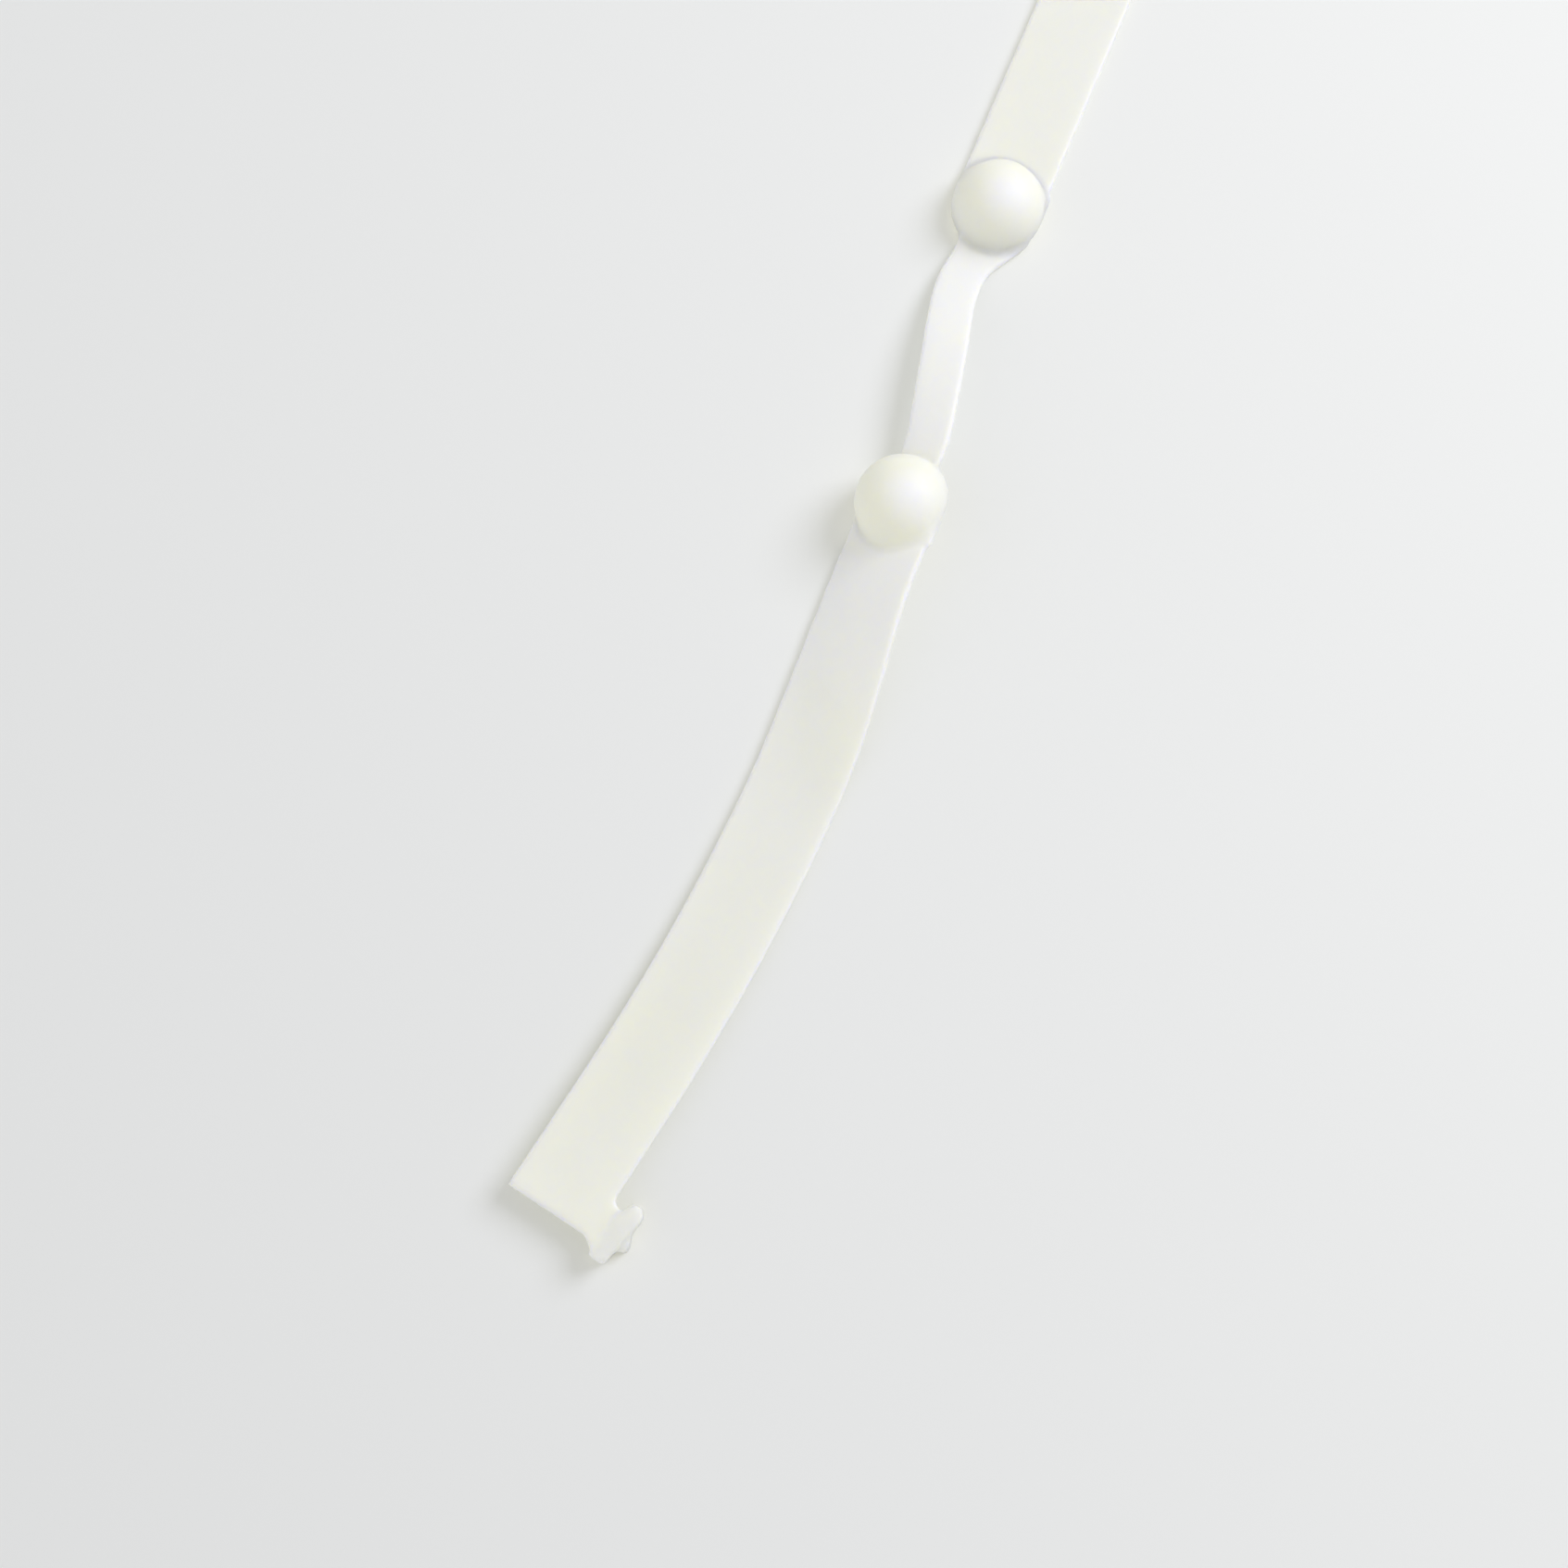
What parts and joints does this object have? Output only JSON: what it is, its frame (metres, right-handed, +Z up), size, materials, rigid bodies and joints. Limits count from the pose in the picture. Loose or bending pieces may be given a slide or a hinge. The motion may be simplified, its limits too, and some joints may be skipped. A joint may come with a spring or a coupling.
{
  "type": "molded strap",
  "caption": "Molded translucent elastomer strap with flat arms, half-ball knobs joined by a narrow arched link, and a torn lug at its raised end.",
  "frame": {"origin": "middle of the first knob's flat back, on the plane the strap rests on", "axes": "+X from the first knob towards the second, along the strap's longest extent; +Y across the strap towards the side with the square shoulders and the lug; +Z up, out of the domed side of the knobs"},
  "size_m": [0.2061, 0.0275, 0.0088],
  "materials": {
    "strap": "satin translucent molded elastomer, faintly yellow-green"
  },
  "bodies": {
    "root": {"strap": "strap"}
  },
  "joints": []
}
